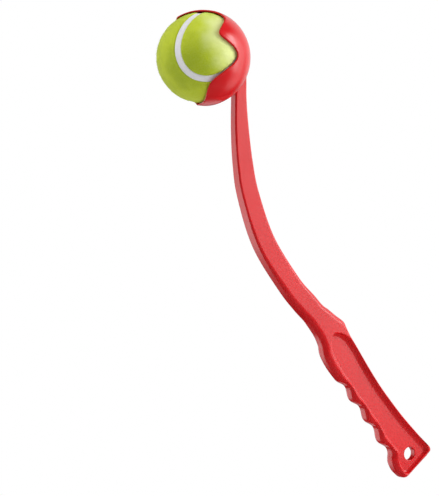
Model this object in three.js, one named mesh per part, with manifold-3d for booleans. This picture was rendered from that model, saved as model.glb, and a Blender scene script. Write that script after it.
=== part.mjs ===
// A dog ball thrower: a curved plastic arm with a scalloped cup that grips a
// tennis ball at one end, and a finger-grooved handle at the other.
// Millimetres, +Z up. The origin is the centre of the hang hole in the handle.
// The arm curves up in the XZ plane to a cup that opens towards -X, and the
// thickness of the arm and handle runs along Y.

import * as THREE from 'three';
import { mergeVertices } from 'three/addons/utils/BufferGeometryUtils.js';
import Module from 'manifold-3d';

// Clearances
const runningGap = 0.3; // between pieces that touch, or turn in each other
const overrun = 2; // how far a cutting tool runs past what it cuts

// The ball, a standard tennis ball
const ballDiameter = 66;
const feltThickness = 2.7;
const coreWall = 3.3;
const cementThickness = 0.8;
const seamWidth = 4.6;
const seamRecess = 0.5; // how far the rubber seam lies below the felt

// The cup, and where its centre lies from the hang hole
const cupReach = 189.7;
const cupRise = 298.6;
const cupWall = 1.8;
const mouthTilt = 11; // degrees that the mouth looks up
const mouthTurn = 14; // degrees that the mouth is turned out of the arm's plane

// The arm, where it leaves the cup
const armWidth = 10.1;
const armThickness = 7;
const armEdgeRadius = 1.2;

// The handle, whose length runs from the arm to the end of the heel
const handleLength = 150.5;
const handleLean = 40.4; // degrees from upright
const handleThickness = 12;
const handleEdgeRadius = 3.4;
const gripFront = 12.5; // from the hang hole to the tops of the finger ridges
const gripBack = 12.2; // from the hang hole to the back of the grip
const grooveDepth = 3.4;
const groovePitch = 20.8;
const grooveCount = 4;
const grooveFromHole = 15.3; // from the hang hole up to the lowest groove
const holeDiameter = 10;
const holeFromEnd = 12.4;
const heelReach = 17.8; // how far the heel flares in front of the hang hole
const heelSpur = 18.6; // and how far it runs out behind it
const heelRadius = 4.5;
const thumbRise = 3.4; // height of the thumb rest over the back of the grip

// The pockets that lighten both sides of the handle
const pocketDepth = 3.4;
const pocketBackRim = 2.4;
const pocketFrontRim = 4;
const pocketEndRim = 3.4;
const pocketWave = 1.6; // how far the pocket's front follows the grooves
const pocketRadius = 3.2;
const pocketFillet = 2.6; // where the pocket's walls meet its floor

// Fineness of the curved faces, as counts
const cupColumns = 84;
const cupRows = 10;
const ballColumns = 32;
const cutColumns = 48;
const coreColumns = 28;
const coreSteps = 6;
const seamSteps = 80;
const armSteps = 36;
const cornerSteps = 3;
const grooveSteps = 6;
const lineSteps = 3;
const holeColumns = 28;

// The rim of the cup, as degrees round the mouth and degrees away from the
// mouth's axis. Small angles away are the tips of the lobes that hold the ball.
// Turn 0 is the side that the mouth is turned to, and turn 90 is the top.
const rimTurns = [
  [-116, 107], [-106, 106], [-97, 99.5], [-90, 93], [-80, 88], [-69, 81.2], [-60, 74],
  [-51, 68.2], [-42, 65.3], [-33, 66.2], [-25, 70], [-16, 76], [-7, 83.8], [1, 88.3],
  [8, 86.8], [14, 80], [20, 71], [26, 65], [31, 63.3], [37, 67], [46, 76], [55, 84.8],
  [64, 88.5], [78, 88.4], [89, 86.2], [97, 78.5], [106, 71], [113, 66], [119, 63.8],
  [124, 68], [129, 75], [136, 81], [146, 86], [157, 88.5], [168, 85.5], [179, 79.5],
  [190, 76.5], [201, 78.5], [212, 84.5], [222, 91.5], [233, 99.5],
];

// The spine of the arm behind the cup, from its top down to where the arm
// leaves the cup: shares of the cup's radius out from its centre and up from
// it, then the share of the arm's width there.
const spineShares = [[0.895, 0.219, 0.5], [0.949, -0.236, 0.86], [0.943, -0.892, 1]];

// The arm from the cup to the handle: shares of the way across and down, then
// the share of the way from its width at the cup to the width of the handle's
// neck, and the same for its thickness and its rounded edges.
const armShares = [
  [0.0225, 0.1385, 0.19, 0.06], [0.059, 0.286, 0.46, 0.2], [0.127, 0.428, 0.59, 0.38],
  [0.316, 0.648, 0.69, 0.66], [0.64, 0.846, 0.75, 0.88], [0.841, 0.941, 0.83, 0.96],
];

// The front of the handle's neck: shares of the way down from the arm to the
// first ridge, and of the grip's front.
const neckShares = [
  [0, 0.42], [0.12, 0.43], [0.25, 0.46], [0.4, 0.6], [0.5, 0.82], [0.62, 0.95], [0.8, 1.02],
];

// The back of the handle: shares of the way from the hang hole up to the arm,
// of the grip's back, and of the thumb rest's rise that is added there.
const backShares = [
  [0.044, 1.13, 0], [0.196, 0.985, 0], [0.316, 1, 0], [0.436, 1.03, 0], [0.567, 1.06, 0],
  [0.697, 1.13, 0], [0.774, 1.17, 0.1], [0.828, 1.17, 0.9], [0.866, 1.15, 1], [0.926, 1.12, 0.5],
  [0.986, 1.09, 0.1],
];
const neckBackShare = 1.08;

// The front of the heel below the lowest groove, and the pocket's front there:
// shares of the hole's distance from the end, and of the heel's reach.
const heelShares = [[-0.94, 0.66], [-0.53, 0.91], [0.02, 1], [0.35, 0.98]];
const heelCornerShares = [0.9, 0.91];
const pocketHeelShares = [[-0.7, 0.5], [-0.39, 0.67], [-0.05, 0.78]];
const pocketCornerShare = 0.8;

// The top of the pocket from its front over the tip to its back: shares of the
// way from the arm to the first ridge, and of the grip's front or back.
const pocketFrontShares = [[0.335, -0.02], [0.42, 0.26], [0.52, 0.43], [0.68, 0.6], [0.85, 0.65]];
const pocketTipShares = [[0.6, 0.82], [0.42, 0.64], [0.33, 0.38]];
const pocketBackEndShare = 0.708;

// How strongly the ball's seam bends, as a share, and how the ball lies in the
// cup, as turns in degrees about X, Y and Z.
const seamBendShare = 0.26;
const ballTurns = [-17.6, 44.8, -63.2];

// Sizes that follow
const ballRadius = ballDiameter / 2;
const coreRadius = ballRadius - feltThickness - runningGap;
const coverRadius = coreRadius + runningGap;
const cupInside = ballRadius + runningGap;
const cupOutside = cupInside + cupWall;
const cupCentre = new THREE.Vector2(-cupReach, cupRise);
const jointDown = holeFromEnd - handleLength;
const firstRidge = -grooveFromHole - (grooveCount - 0.5) * groovePitch;
const neckFront = neckShares[0][1] * gripFront;
const neckBack = neckBackShare * gripBack;
const radians = THREE.MathUtils.degToRad;

const colours = {
  plastic: 0xd9262b,
  felt: 0xb4c85a,
  seam: 0xe4e2ea,
  rubber: 0x3a3a3c,
  cement: 0xb9a98a,
};

// Closed solids
const wasm = await Module();
wasm.setup();

// Welds a geometry's vertices, drops the faces that this empties, and makes a
// solid of it.
function solidOf(geometry) {
  const bare = geometry.clone();
  bare.deleteAttribute('normal');
  bare.deleteAttribute('uv');
  const welded = mergeVertices(bare, runningGap / 1000);
  const corners = Array.from(welded.index.array);
  const faces = [];
  for (let i = 0; i < corners.length; i += 3) {
    const [a, b, c] = corners.slice(i, i + 3);
    if (a !== b && b !== c && c !== a) faces.push(a, b, c);
  }
  return new wasm.Manifold(new wasm.Mesh({
    numProp: 3,
    vertProperties: new Float32Array(welded.attributes.position.array),
    triVerts: new Uint32Array(faces),
  }));
}

function geometryOf(solid) {
  const mesh = solid.getMesh();
  const geometry = new THREE.BufferGeometry();
  geometry.setAttribute('position', new THREE.BufferAttribute(mesh.vertProperties, 3));
  geometry.setIndex(new THREE.BufferAttribute(mesh.triVerts, 1));
  geometry.computeVertexNormals();
  return geometry;
}

// Joins rings of points, all with as many points, into a closed body. The last
// ring meets the first one again, or both ends are closed flat.
function loft(rings, ringsMeet) {
  const count = rings[0].length;
  const faces = [];
  const bands = ringsMeet ? rings.length : rings.length - 1;
  for (let i = 0; i < bands; i++) {
    const here = i * count;
    const there = ((i + 1) % rings.length) * count;
    for (let j = 0; j < count; j++) {
      const k = (j + 1) % count;
      faces.push(here + j, there + j, there + k, here + j, there + k, here + k);
    }
  }
  if (!ringsMeet) {
    const last = bands * count;
    for (let j = 1; j < count - 1; j++) faces.push(0, j, j + 1, last, last + j + 1, last + j);
  }
  const geometry = new THREE.BufferGeometry();
  const places = rings.flat().flatMap((point) => point.toArray());
  geometry.setAttribute('position', new THREE.Float32BufferAttribute(places, 3));
  geometry.setIndex(faces);
  return geometry;
}

function ballSolid(radius, columns) {
  return solidOf(new THREE.SphereGeometry(radius, columns, columns / 2));
}

function piece(name, geometry, colour, roughness) {
  const material = new THREE.MeshStandardMaterial({ color: colour, roughness, metalness: 0 });
  const mesh = new THREE.Mesh(geometry, material);
  mesh.name = name;
  return mesh;
}

// The cup

// Reads the rim's angle at any turn from the table, as a smooth closed curve.
function rimAngle(turn) {
  const count = rimTurns.length;
  const station = (i) => {
    const [at, angle] = rimTurns[((i % count) + count) % count];
    return [at + 360 * Math.floor(i / count), angle];
  };
  const wrapped = turn < rimTurns[0][0] ? turn + 360 : turn;
  let i = 0;
  while (station(i + 1)[0] <= wrapped) i++;
  const [before, from, to, after] = [station(i - 1), station(i), station(i + 1), station(i + 2)];
  const run = to[0] - from[0];
  const t = (wrapped - from[0]) / run;
  const slopeFrom = (run * (to[1] - before[1])) / (to[0] - before[0]);
  const slopeTo = (run * (after[1] - from[1])) / (after[0] - from[0]);
  const rest = 1 - t;
  return from[1] * rest * rest * (1 + 2 * t) + slopeFrom * t * rest * rest
    + to[1] * t * t * (3 - 2 * t) - slopeTo * t * t * rest;
}

// A thin spherical shell, open at the mouth down to the rim. Each ring is one
// slice of the wall: from the rim along the inside to the back of the cup, and
// back to the rim over the outside.
function cup() {
  const tilt = radians(mouthTilt);
  const turnOut = radians(mouthTurn);
  const mouth = new THREE.Vector3(
    -Math.cos(tilt) * Math.cos(turnOut),
    -Math.cos(tilt) * Math.sin(turnOut),
    Math.sin(tilt),
  );
  const side = new THREE.Vector3(0, 0, 1).cross(mouth).normalize();
  const top = mouth.clone().cross(side);
  const slices = [];
  for (let i = 0; i < cupColumns; i++) {
    const turn = (360 * i) / cupColumns - 180;
    const rim = rimAngle(turn < rimTurns[0][0] ? turn + 360 : turn);
    const out = side.clone().multiplyScalar(Math.cos(radians(turn)));
    out.addScaledVector(top, Math.sin(radians(turn)));
    const slice = [];
    for (const [radius, returning] of [[cupInside, false], [cupOutside, true]]) {
      for (let row = 0; row <= cupRows; row++) {
        const share = (returning ? cupRows - row : row) / cupRows;
        const angle = radians(rim + (180 - rim) * share);
        const point = mouth.clone().multiplyScalar(radius * Math.cos(angle));
        slice.push(point.addScaledVector(out, radius * Math.sin(angle)));
      }
    }
    slices.push(slice);
  }
  const geometry = geometryOf(solidOf(loft(slices, true)));
  const mesh = piece('ball_cup', geometry, colours.plastic, 0.2);
  mesh.position.set(cupCentre.x, 0, cupCentre.y);
  return mesh;
}

// The handle

// Handle points are written as how far down the handle, and how far to its
// front, they lie from the hang hole.
const down = new THREE.Vector2(Math.sin(radians(handleLean)), -Math.cos(radians(handleLean)));
const front = new THREE.Vector2(down.y, -down.x);

function onHandle([alongDown, toFront]) {
  return down.clone().multiplyScalar(alongDown).addScaledVector(front, toFront);
}

// The grip's front edge, a wave of finger grooves.
function wave(ridge, depth) {
  const steps = Math.round((grooveCount - 0.5) * grooveSteps);
  const points = [];
  for (let i = 0; i <= steps; i++) {
    const along = firstRidge + ((-grooveFromHole - firstRidge) * i) / steps;
    const phase = (2 * Math.PI * (along + grooveFromHole)) / groovePitch;
    points.push([along, ridge - (depth * (1 + Math.cos(phase))) / 2]);
  }
  return points;
}

function smooth(points) {
  const curve = new THREE.SplineCurve(points.map(([x, y]) => new THREE.Vector2(x, y)));
  return curve.getPoints((points.length - 1) * lineSteps).map((point) => point.toArray());
}

// A corner of an outline rounded to an arc.
function rounded(before, corner, after, radius) {
  const at = new THREE.Vector2(...corner);
  const back = new THREE.Vector2(...before).sub(at).normalize();
  const on = new THREE.Vector2(...after).sub(at).normalize();
  const half = Math.acos(back.dot(on)) / 2;
  const centre = back.clone().add(on).normalize().multiplyScalar(radius / Math.sin(half)).add(at);
  const start = at.clone().addScaledVector(back, radius / Math.tan(half)).sub(centre);
  const turn = Math.sign(on.cross(back)) * (Math.PI - 2 * half);
  const points = [];
  for (let i = 0; i <= 2 * cornerSteps; i++) {
    const point = start.clone().rotateAround(new THREE.Vector2(), (turn * i) / (2 * cornerSteps));
    points.push(point.add(centre).toArray());
  }
  return points;
}

function neckPoint(downShare, across) {
  return [jointDown + downShare * (firstRidge - jointDown), across];
}

function backPoint([upShare, back, thumb]) {
  return [upShare * jointDown, -back * gripBack - thumb * thumbRise];
}

// The outline runs down the front, round the heel and up the back. It starts
// past the joint with the arm, where it is cut off square.
function handleOutline() {
  const neck = neckShares.map(([share, across]) => neckPoint(share, across * gripFront));
  const ridges = wave(gripFront, grooveDepth);
  const heel = heelShares.map(([share, across]) => [share * holeFromEnd, across * heelReach]);
  const [cornerEnd, cornerAcross] = heelCornerShares;
  const frontCorner = [cornerEnd * holeFromEnd, cornerAcross * heelReach];
  const spurCorner = [holeFromEnd, -heelSpur];
  const back = backShares.map(backPoint);
  const past = jointDown - handleThickness;
  return [
    [past, neckFront],
    ...smooth([...neck, ridges[0]]),
    ...ridges.slice(1, -1),
    ...smooth([ridges[ridges.length - 1], ...heel]),
    ...rounded(heel[heel.length - 1], frontCorner, spurCorner, heelRadius),
    ...rounded(frontCorner, spurCorner, back[0], heelRadius),
    ...smooth([...back, [jointDown, -neckBack]]),
    [past, -neckBack],
  ];
}

function pocketOutline() {
  const over = pocketFrontShares.map(([share, across]) => {
    return neckPoint(share, across * gripFront);
  });
  const ridges = wave(gripFront - pocketFrontRim, pocketWave);
  const heel = pocketHeelShares.map(([share, across]) => [share * holeFromEnd, across * heelReach]);
  const end = holeFromEnd - pocketEndRim;
  const frontCorner = [end, pocketCornerShare * heelReach];
  const back = backShares.filter(([upShare]) => upShare < pocketBackEndShare).map(([upShare, share]) => {
    return [upShare * jointDown, pocketBackRim - share * gripBack];
  });
  const backCorner = [end, pocketBackRim - heelSpur];
  const tip = pocketTipShares.map(([share, across]) => neckPoint(share, -across * gripBack));
  return [
    ...smooth([...over, ridges[0]]),
    ...ridges.slice(1, -1),
    ...smooth([ridges[ridges.length - 1], ...heel]),
    ...rounded(heel[heel.length - 1], frontCorner, backCorner, pocketRadius),
    ...rounded(frontCorner, backCorner, back[0], pocketRadius),
    ...smooth([...back, ...tip, over[0]]).slice(0, -1),
  ];
}

// A plate in the handle's plane, with rounded edges, reaching from one place
// across the thickness to another.
function plate(outline, from, to, edge) {
  const geometry = new THREE.ExtrudeGeometry(new THREE.Shape(outline.map(onHandle)), {
    depth: to - from - 2 * edge,
    bevelEnabled: edge > 0,
    bevelThickness: edge,
    bevelSize: edge,
    bevelOffset: -edge,
    bevelSegments: cornerSteps,
  });
  geometry.translate(0, 0, from + edge);
  geometry.rotateX(Math.PI / 2);
  return solidOf(geometry);
}

function handle() {
  const half = handleThickness / 2;
  const floor = half - pocketDepth;
  const past = jointDown - 2 * handleThickness;
  const wide = gripFront + heelSpur;
  const beyond = [[past, wide], [jointDown, wide], [jointDown, -wide], [past, -wide]];
  const bore = holeDiameter / 2;
  const pin = new THREE.CylinderGeometry(bore, bore, 2 * handleThickness, holeColumns);
  const reach = half + overrun + pocketFillet;
  const solid = plate(handleOutline(), -half, half, handleEdgeRadius)
    .subtract(plate(beyond, -half - overrun, half + overrun, 0))
    .subtract(plate(pocketOutline(), floor, reach, pocketFillet))
    .subtract(plate(pocketOutline(), -reach, -floor, pocketFillet))
    .subtract(solidOf(pin));
  return piece('handle', geometryOf(solid), colours.plastic, 0.2);
}

// The arm

// A rectangle with rounded corners, as points about its centre.
function roundedSection(width, height, radius) {
  const points = [];
  for (const [x, y, quarter] of [[1, 1, 0], [-1, 1, 1], [-1, -1, 2], [1, -1, 3]]) {
    for (let i = 0; i <= cornerSteps; i++) {
      const angle = (Math.PI / 2) * (quarter + i / cornerSteps);
      points.push([
        x * (width / 2 - radius) + radius * Math.cos(angle),
        y * (height / 2 - radius) + radius * Math.sin(angle),
      ]);
    }
  }
  return points;
}

// The arm is a loft of rounded sections along its centre line. It starts as a
// spine on the back of the cup and ends square on the handle.
function arm() {
  const places = spineShares.map(([out, up]) => {
    return new THREE.Vector2(out, up).multiplyScalar(cupOutside).add(cupCentre);
  });
  const start = places[places.length - 1];
  const end = onHandle([jointDown - runningGap, (neckFront - neckBack) / 2]);
  const sizes = spineShares.map(([, , share]) => new THREE.Vector2(share * armWidth, 0));
  for (const [across, along, widthShare, thicknessShare] of [...armShares, [1, 1, 1, 1]]) {
    places.push(new THREE.Vector2(
      THREE.MathUtils.lerp(start.x, end.x, across),
      THREE.MathUtils.lerp(start.y, end.y, along),
    ));
    sizes.push(new THREE.Vector2(
      THREE.MathUtils.lerp(armWidth, neckFront + neckBack, widthShare),
      thicknessShare,
    ));
  }
  const path = new THREE.SplineCurve(places);
  const size = new THREE.SplineCurve(sizes);
  const rings = [];
  for (let i = 0; i <= armSteps; i++) {
    const centre = path.getPoint(i / armSteps);
    const along = i === armSteps ? down : path.getTangent(i / armSteps);
    const across = new THREE.Vector2(-along.y, along.x);
    const { x: width, y: share } = size.getPoint(i / armSteps);
    const thickness = THREE.MathUtils.lerp(armThickness, handleThickness, share);
    const edge = THREE.MathUtils.lerp(armEdgeRadius, handleEdgeRadius, share);
    rings.push(roundedSection(width, thickness, edge).map(([a, b]) => {
      const place = centre.clone().addScaledVector(across, a);
      return new THREE.Vector3(place.x, b, place.y);
    }));
  }
  const seat = ballSolid(cupOutside + runningGap, cutColumns);
  const solid = solidOf(loft(rings, false)).subtract(seat.translate(cupCentre.x, 0, cupCentre.y));
  return piece('throwing_arm', geometryOf(solid), colours.plastic, 0.2);
}

// The ball

// One point of the seam, on a ball of radius one.
function seamPoint(angle) {
  const bend = seamBendShare;
  const rest = 1 - bend;
  return new THREE.Vector3(
    rest * Math.cos(angle) + bend * Math.cos(3 * angle),
    rest * Math.sin(angle) - bend * Math.sin(3 * angle),
    2 * Math.sqrt(rest * bend) * Math.sin(2 * angle),
  );
}

// A band along the seam, between two radii of the ball.
function seamBand(width, inner, outer) {
  const spread = width / ballDiameter;
  const step = (2 * Math.PI) / seamSteps;
  const rings = [];
  for (let i = 0; i < seamSteps; i++) {
    const here = seamPoint(i * step);
    const ahead = seamPoint((i + 1) * step).sub(seamPoint((i - 1) * step));
    const side = here.clone().cross(ahead).normalize();
    rings.push([[inner, -1], [outer, -1], [outer, 1], [inner, 1]].map(([radius, way]) => {
      const point = here.clone().multiplyScalar(radius * Math.cos(spread));
      return point.addScaledVector(side, way * radius * Math.sin(spread));
    }));
  }
  return solidOf(loft(rings, true));
}

// One half of the hollow core, open where it meets the other half.
function coreHalf() {
  const lip = cementThickness / 2 + runningGap;
  const profile = [];
  for (const [radius, outward] of [[coreRadius - coreWall, true], [coreRadius, false]]) {
    const low = Math.asin(lip / radius);
    for (let i = 0; i <= coreSteps; i++) {
      const share = outward ? 1 - i / coreSteps : i / coreSteps;
      const angle = low + (Math.PI / 2 - low) * share;
      const out = share === 1 ? 0 : radius * Math.cos(angle);
      profile.push(new THREE.Vector2(out, radius * Math.sin(angle)));
    }
  }
  return new THREE.LatheGeometry(profile, coreColumns);
}

function cementRing() {
  const half = cementThickness / 2;
  const inner = coreRadius - coreWall;
  const corners = [[inner, -half], [coreRadius, -half], [coreRadius, half], [inner, half]];
  const profile = [...corners, corners[0]].map(([x, y]) => new THREE.Vector2(x, y));
  return new THREE.LatheGeometry(profile, coreColumns);
}

function ball() {
  const group = new THREE.Group();
  const shell = ballSolid(ballRadius, ballColumns).subtract(ballSolid(coverRadius, ballColumns));
  const slot = seamBand(seamWidth + 2 * runningGap, coverRadius - overrun, ballRadius + overrun);
  shell.subtract(slot).decompose().forEach((panel, i) => {
    group.add(piece(`felt_panel_${i + 1}`, geometryOf(panel), colours.felt, 0.95));
  });
  const seam = seamBand(seamWidth, coverRadius, ballRadius - seamRecess);
  group.add(piece('rubber_seam', geometryOf(seam), colours.seam, 0.6));
  const halves = [['core_half_1', 0], ['core_half_2', Math.PI]];
  for (const [name, turn] of halves) {
    const half = piece(name, geometryOf(solidOf(coreHalf())), colours.rubber, 0.8);
    half.rotation.x = turn;
    group.add(half);
  }
  group.add(piece('core_cement', geometryOf(solidOf(cementRing())), colours.cement, 0.7));
  group.position.set(cupCentre.x, 0, cupCentre.y);
  group.rotation.set(...ballTurns.map(radians));
  return group;
}

const thrower = new THREE.Group();
thrower.name = 'dog_ball_thrower';
thrower.add(cup(), arm(), handle(), ball());

export default thrower;
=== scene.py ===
"""A dog ball thrower: a one-piece moulded arm, cup and handle in glossy red
plastic, with a tennis ball in the cup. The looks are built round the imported
model, in its frame and in metres."""

import math

import bmesh
import bpy
import numpy as np
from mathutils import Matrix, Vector


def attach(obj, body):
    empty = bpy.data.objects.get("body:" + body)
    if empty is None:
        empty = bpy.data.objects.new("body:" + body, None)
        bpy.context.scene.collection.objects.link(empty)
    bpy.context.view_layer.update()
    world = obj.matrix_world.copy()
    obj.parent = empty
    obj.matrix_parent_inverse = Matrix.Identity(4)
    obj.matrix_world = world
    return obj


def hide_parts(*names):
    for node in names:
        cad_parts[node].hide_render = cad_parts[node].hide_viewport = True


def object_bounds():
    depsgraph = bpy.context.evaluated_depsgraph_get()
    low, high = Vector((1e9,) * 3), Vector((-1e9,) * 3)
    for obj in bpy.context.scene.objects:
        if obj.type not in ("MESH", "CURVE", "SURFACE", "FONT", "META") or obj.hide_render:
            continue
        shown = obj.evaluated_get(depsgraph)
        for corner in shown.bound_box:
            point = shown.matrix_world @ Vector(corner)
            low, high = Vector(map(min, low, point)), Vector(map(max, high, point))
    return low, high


bl_info = {
    "name": "Dog Ball Thrower",
    "version": (1, 0, 0),
    "blender": (4, 5, 0),
    "location": "View3D > Sidebar > Ball Thrower",
    "description": "Builds a moulded dog ball thrower and its tennis ball",
    "category": "Object",
}

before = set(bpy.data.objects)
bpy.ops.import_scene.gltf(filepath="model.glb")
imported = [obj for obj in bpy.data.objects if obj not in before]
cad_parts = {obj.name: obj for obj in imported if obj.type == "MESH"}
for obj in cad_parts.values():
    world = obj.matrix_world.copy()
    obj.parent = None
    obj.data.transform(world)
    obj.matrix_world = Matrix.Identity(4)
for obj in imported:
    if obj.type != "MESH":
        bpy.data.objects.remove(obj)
CAD_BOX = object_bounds()

MM = 0.001
SUPPORT = 0.15 * MM  # how far a flat face keeps a second edge beside a rounded one
WELD = 0.002 * MM  # points that are closer than this become one

CURVE_STEPS = 12  # steps from each point of an outline to the next
EDGE_STEPS = 12  # steps of the arc at the rim's outer edge
LIP_STEPS = 8  # steps of the arc at the pocket's mouth
FILLET_STEPS = 12  # steps of the arc where the pocket's wall meets its floor
TOP_LEVEL = EDGE_STEPS + 2  # where in its profile the rim's flat top starts
HOLE_POINTS = 64  # points round the hang hole
HOLE_EDGE_STEPS = 6  # steps of the arc at the hang hole's edge
ARM_STEPS = 28  # steps from each point of the arm's line to the next
SEAM_POINTS = 1600  # points of the seam line that the felt is measured from
SEAM_PARTS = 40  # parts in which the felt's points are measured

# The rim of the cup: degrees round the mouth, and degrees away from its axis.
RIM_TURNS = (
    (-116, 107), (-106, 106), (-97, 99.5), (-90, 93), (-80, 88), (-69, 81.2), (-60, 74),
    (-51, 68.2), (-42, 65.3), (-33, 66.2), (-25, 70), (-16, 76), (-7, 83.8), (1, 88.3),
    (8, 86.8), (14, 80), (20, 71), (26, 65), (31, 63.3), (37, 67), (46, 76), (55, 84.8),
    (64, 88.5), (78, 88.4), (89, 86.2), (97, 78.5), (106, 71), (113, 66), (119, 63.8),
    (124, 68), (129, 75), (136, 81), (146, 86), (157, 88.5), (168, 85.5), (179, 79.5),
    (190, 76.5), (201, 78.5), (212, 84.5), (222, 91.5), (233, 99.5),
)

# The spine behind the cup: shares of the cup's radius out and up from its
# centre, and the share of the arm's width.
SPINE_SHARES = ((0.895, 0.219, 0.5), (0.949, -0.236, 0.86), (0.943, -0.892, 1))

# The arm: shares of the way across and down to the handle, and of the way from
# its section at the cup to the section of the handle's neck.
ARM_SHARES = (
    (0.0143, 0.1388, 0.246, 0.06), (0.05, 0.2866, 0.438, 0.2), (0.118, 0.4292, 0.55, 0.38),
    (0.3166, 0.648, 0.666, 0.66), (0.6428, 0.845, 0.745, 0.88), (0.848, 0.938, 0.91, 0.96),
)

# The front of the handle's neck: shares of the way from the arm to the first
# ridge, and of the grip's front.
NECK_SHARES = (
    (0, 0.42), (0.12, 0.43), (0.25, 0.46), (0.4, 0.6), (0.5, 0.82), (0.62, 0.95), (0.8, 1.02),
)

# The handle's back: shares of the way from the hang hole up to the arm, of the
# grip's back and of the thumb rest's rise. Its last point is on the arm.
BACK_SHARES = (
    (0.044, 1.13, 0), (0.196, 0.97, 0), (0.316, 0.92, 0), (0.436, 0.915, 0), (0.567, 1.005, 0),
    (0.697, 1.138, 0), (0.774, 1.17, 0.2), (0.828, 1.135, 0.85), (0.866, 1.2, 1),
    (0.926, 1.17, 0.5), (0.986, 1.11, 0.1),
)
NECK_BACK_SHARE = 1.08

# The heel's front and its corner: shares of the way from the hang hole to the
# end of the heel, and of the heel's reach.
HEEL_SHARES = ((-0.94, 0.66), (-0.53, 0.91), (0.02, 1), (0.35, 0.98))
HEEL_CORNER_SHARES = (0.9, 0.91)

# The pocket's end in the heel, in the same shares, and how far up the handle it
# follows the line of the back.
POCKET_HEEL_SHARES = ((-0.7, 0.5), (-0.39, 0.67), (-0.05, 0.78))
POCKET_CORNER_SHARE = 0.8
POCKET_BACK_END_SHARE = 0.6

# The arch at the pocket's upper end: shares of the way from the arm to the first
# ridge, and of the grip's front or its back.
POCKET_FRONT_SHARES = ((0.385, -0.17), (0.43, 0.08), (0.52, 0.35), (0.67, 0.54), (0.85, 0.63))
POCKET_TIP_SHARES = (
    (0.9, 1.065), (0.74, 1.095), (0.62, 1.07), (0.52, 0.935), (0.44, 0.735), (0.37, 0.42),
)

# Where the handle's outline and its pocket's are tied to each other across the
# rim: shares of the neck, and of the way back up to the arm.
FRONT_PAIR_SHARES = (0.36, 0.5, 0.66, 0.84)
BACK_PAIR_SHARES = (0.14, 0.32, 0.5, 0.66, 0.74, 0.79, 0.83)

# Where the handle's edges turn sharp: how far its outline has to face the back,
# and over how much more that comes in, and the share of the way up to the arm
# where they are round again, and over what share that comes in.
BACK_FADE = (0.25, 0.7)
NECK_FADE = (0.93, 0.2)
TIP_FADE = 12 * MM  # how far from the pocket's tip its back wall has its full slope
LIP_SHARE = 0.45  # the most of the rim's width that the pocket's lip takes

# The ways from the ball's centre to the side where the felt gets a paler painted highlight, and to the
# side where it gets painted shade.
PAINTED_HIGHLIGHT_SIDE = (0.3, -0.85, 0.42)
PAINTED_SHADE_SIDE = (-0.76, -0.64, -0.09)

# The studio's soft walls as gloss shows them: degrees round from the front to
# the right, degrees up, full and faded half-widths in degrees, and brightness.
WALLS = (
    (110, 12, 18, 41, 0.95),
    (205, -10, 14, 36, 2.3),
    (72, -31, 9, 25, 1.25),
    (141, -38, 9, 20, 0.8),
)

# The lamps: degrees round and up, distance, lift, width and height in metres,
# brightness at the top, share of it left at the foot, the share of the height
# over which it comes up, and whether gloss shows it.
PANELS = (
    ("front_right_panel", 53, 0, 0.9, 0.29, 0.86, 1.1, 1.9, 0.32, 0.3, True),
    ("key_panel", 48, 0, 0.8, 0.32, 0.21, 1.1, 11, 0.12, 1, True),
    ("front_panel", 15, -25, 0.9, 0.1, 0.7, 0.9, 0.7, 1, 1, False),
    ("left_panel", 250, 30, 0.8, 0.16, 0.8, 0.9, 1.0, 1, 1, False),
    ("top_panel", 290, 62, 0.9, 0.1, 0.9, 0.9, 0.8, 1, 1, False),
)

SENSOR_WIDTH = 36  # millimetres
CAMERA_RANGE = (0.1, 20)  # metres
FLOOR_FADE = (0.45, 1.2)  # metres from the middle: where the floor starts to fade, and is white
FLOOR_POINTS = 96


def length(name, text, size, **more):
    """A length as a user would set it."""
    return bpy.props.FloatProperty(name=name, description=text, default=size, unit="LENGTH", **more)


def turn(name, text, degrees):
    """An angle as a user would set it."""
    return bpy.props.FloatProperty(
        name=name, description=text, default=math.radians(degrees), unit="ROTATION")


def colour(name, text, rgb):
    """A linear colour as a user would set it."""
    return bpy.props.FloatVectorProperty(
        name=name, description=text, default=rgb, subtype="COLOR", size=3, min=0, max=1)


def amount(name, text, value, **more):
    """A plain number as a user would set it."""
    return bpy.props.FloatProperty(name=name, description=text, default=value, **more)


class CupSizes(bpy.types.PropertyGroup):
    """The cup that grips the ball."""

    reach: length("Reach", "From the hang hole to the cup's centre, level", 189.7 * MM)
    rise: length("Rise", "From the hang hole up to the cup's centre", 298.6 * MM)
    inside: length("Inside radius", "Radius of the cup's inner face", 33.3 * MM)
    wall: length("Wall", "Thickness of the cup's wall", 1.74 * MM)
    rim: length("Rim", "Thickness of the wall at the rim, beside the mouth", 1.5 * MM)
    far_rim: length("Far rim", "Thickness of the wall at the rim on the other side", 0.8 * MM)
    taper: length("Taper", "How far from the rim the wall is thinner", 13 * MM)
    mouth_tilt: turn("Mouth tilt", "How far the mouth looks up", 11)
    mouth_turn: turn("Mouth turn", "How far the mouth is turned out of the arm's plane", 14)


class ArmSizes(bpy.types.PropertyGroup):
    """The arm, where it leaves the cup."""

    width: length("Width", "Width of the arm at the cup", 10.1 * MM)
    thickness: length("Thickness", "Thickness of the arm at the cup", 7 * MM)
    edge: length("Edge radius", "Radius of the arm's edges at the cup", 1.2 * MM)
    edge_growth: amount("Edge growth", "How late the edges round off towards the handle", 4, min=1)
    fillet: length("Cup fillet", "Radius of the fillet from the arm's sides to the cup", 2.2 * MM)


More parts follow.
